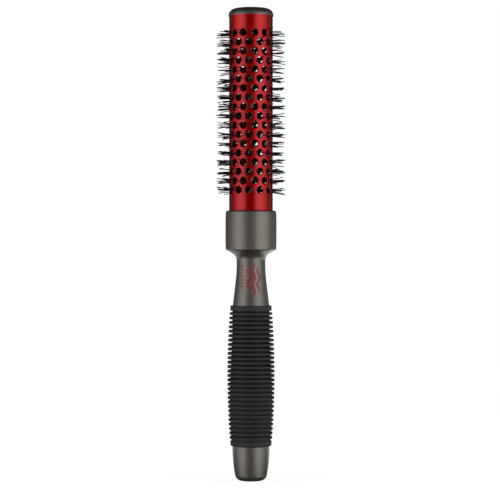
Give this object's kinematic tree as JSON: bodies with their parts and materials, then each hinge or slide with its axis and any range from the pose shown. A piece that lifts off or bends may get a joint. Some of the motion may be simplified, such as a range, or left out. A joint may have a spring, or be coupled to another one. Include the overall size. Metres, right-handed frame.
{
  "type": "round hairbrush",
  "caption": "Slim vented round hairbrush: bristles on a twisted wire core reach out through a perforated red barrel, on a tapered handle with a ribbed rubber grip.",
  "frame": {"origin": "centre of the flat foot of the butt cap, where the brush's axis meets the ground plane", "axes": "+Z along the brush's axis from the butt to the tip; -Y is the front, the side with a vent near its middle in the lowest ring"},
  "size_m": [0.0386, 0.0386, 0.2703],
  "materials": {
    "gunmetal": "moulded plastic with a satin metallic gunmetal lacquer",
    "grip_rubber": "matt black moulded rubber",
    "red_barrel": "satin translucent red anodised aluminium",
    "black_plastic": "plain black moulding",
    "steel_wire": "bright drawn wire",
    "red_ink": "red printed mark on the neck, thinner than the model's solids",
    "black_nylon": "black nylon filament"
  },
  "bodies": {
    "root": {"handle_body": "gunmetal", "butt_cap": "gunmetal", "grip_sleeve": "grip_rubber", "barrel": "red_barrel", "barrel_plug": "black_plastic", "tip_cap": "gunmetal", "core_wire_a": "steel_wire", "core_wire_b": "steel_wire", "bristle_ring_01": "black_nylon", "bristle_ring_02": "black_nylon", "bristle_ring_03": "black_nylon", "bristle_ring_04": "black_nylon", "bristle_ring_05": "black_nylon", "bristle_ring_06": "black_nylon", "bristle_ring_07": "black_nylon", "bristle_ring_08": "black_nylon", "bristle_ring_09": "black_nylon", "bristle_ring_10": "black_nylon", "bristle_ring_11": "black_nylon", "bristle_ring_12": "black_nylon", "bristle_ring_13": "black_nylon", "bristle_ring_14": "black_nylon", "bristle_ring_15": "black_nylon", "bristle_ring_16": "black_nylon", "bristle_ring_17": "black_nylon", "bristle_ring_18": "black_nylon"}
  },
  "joints": []
}
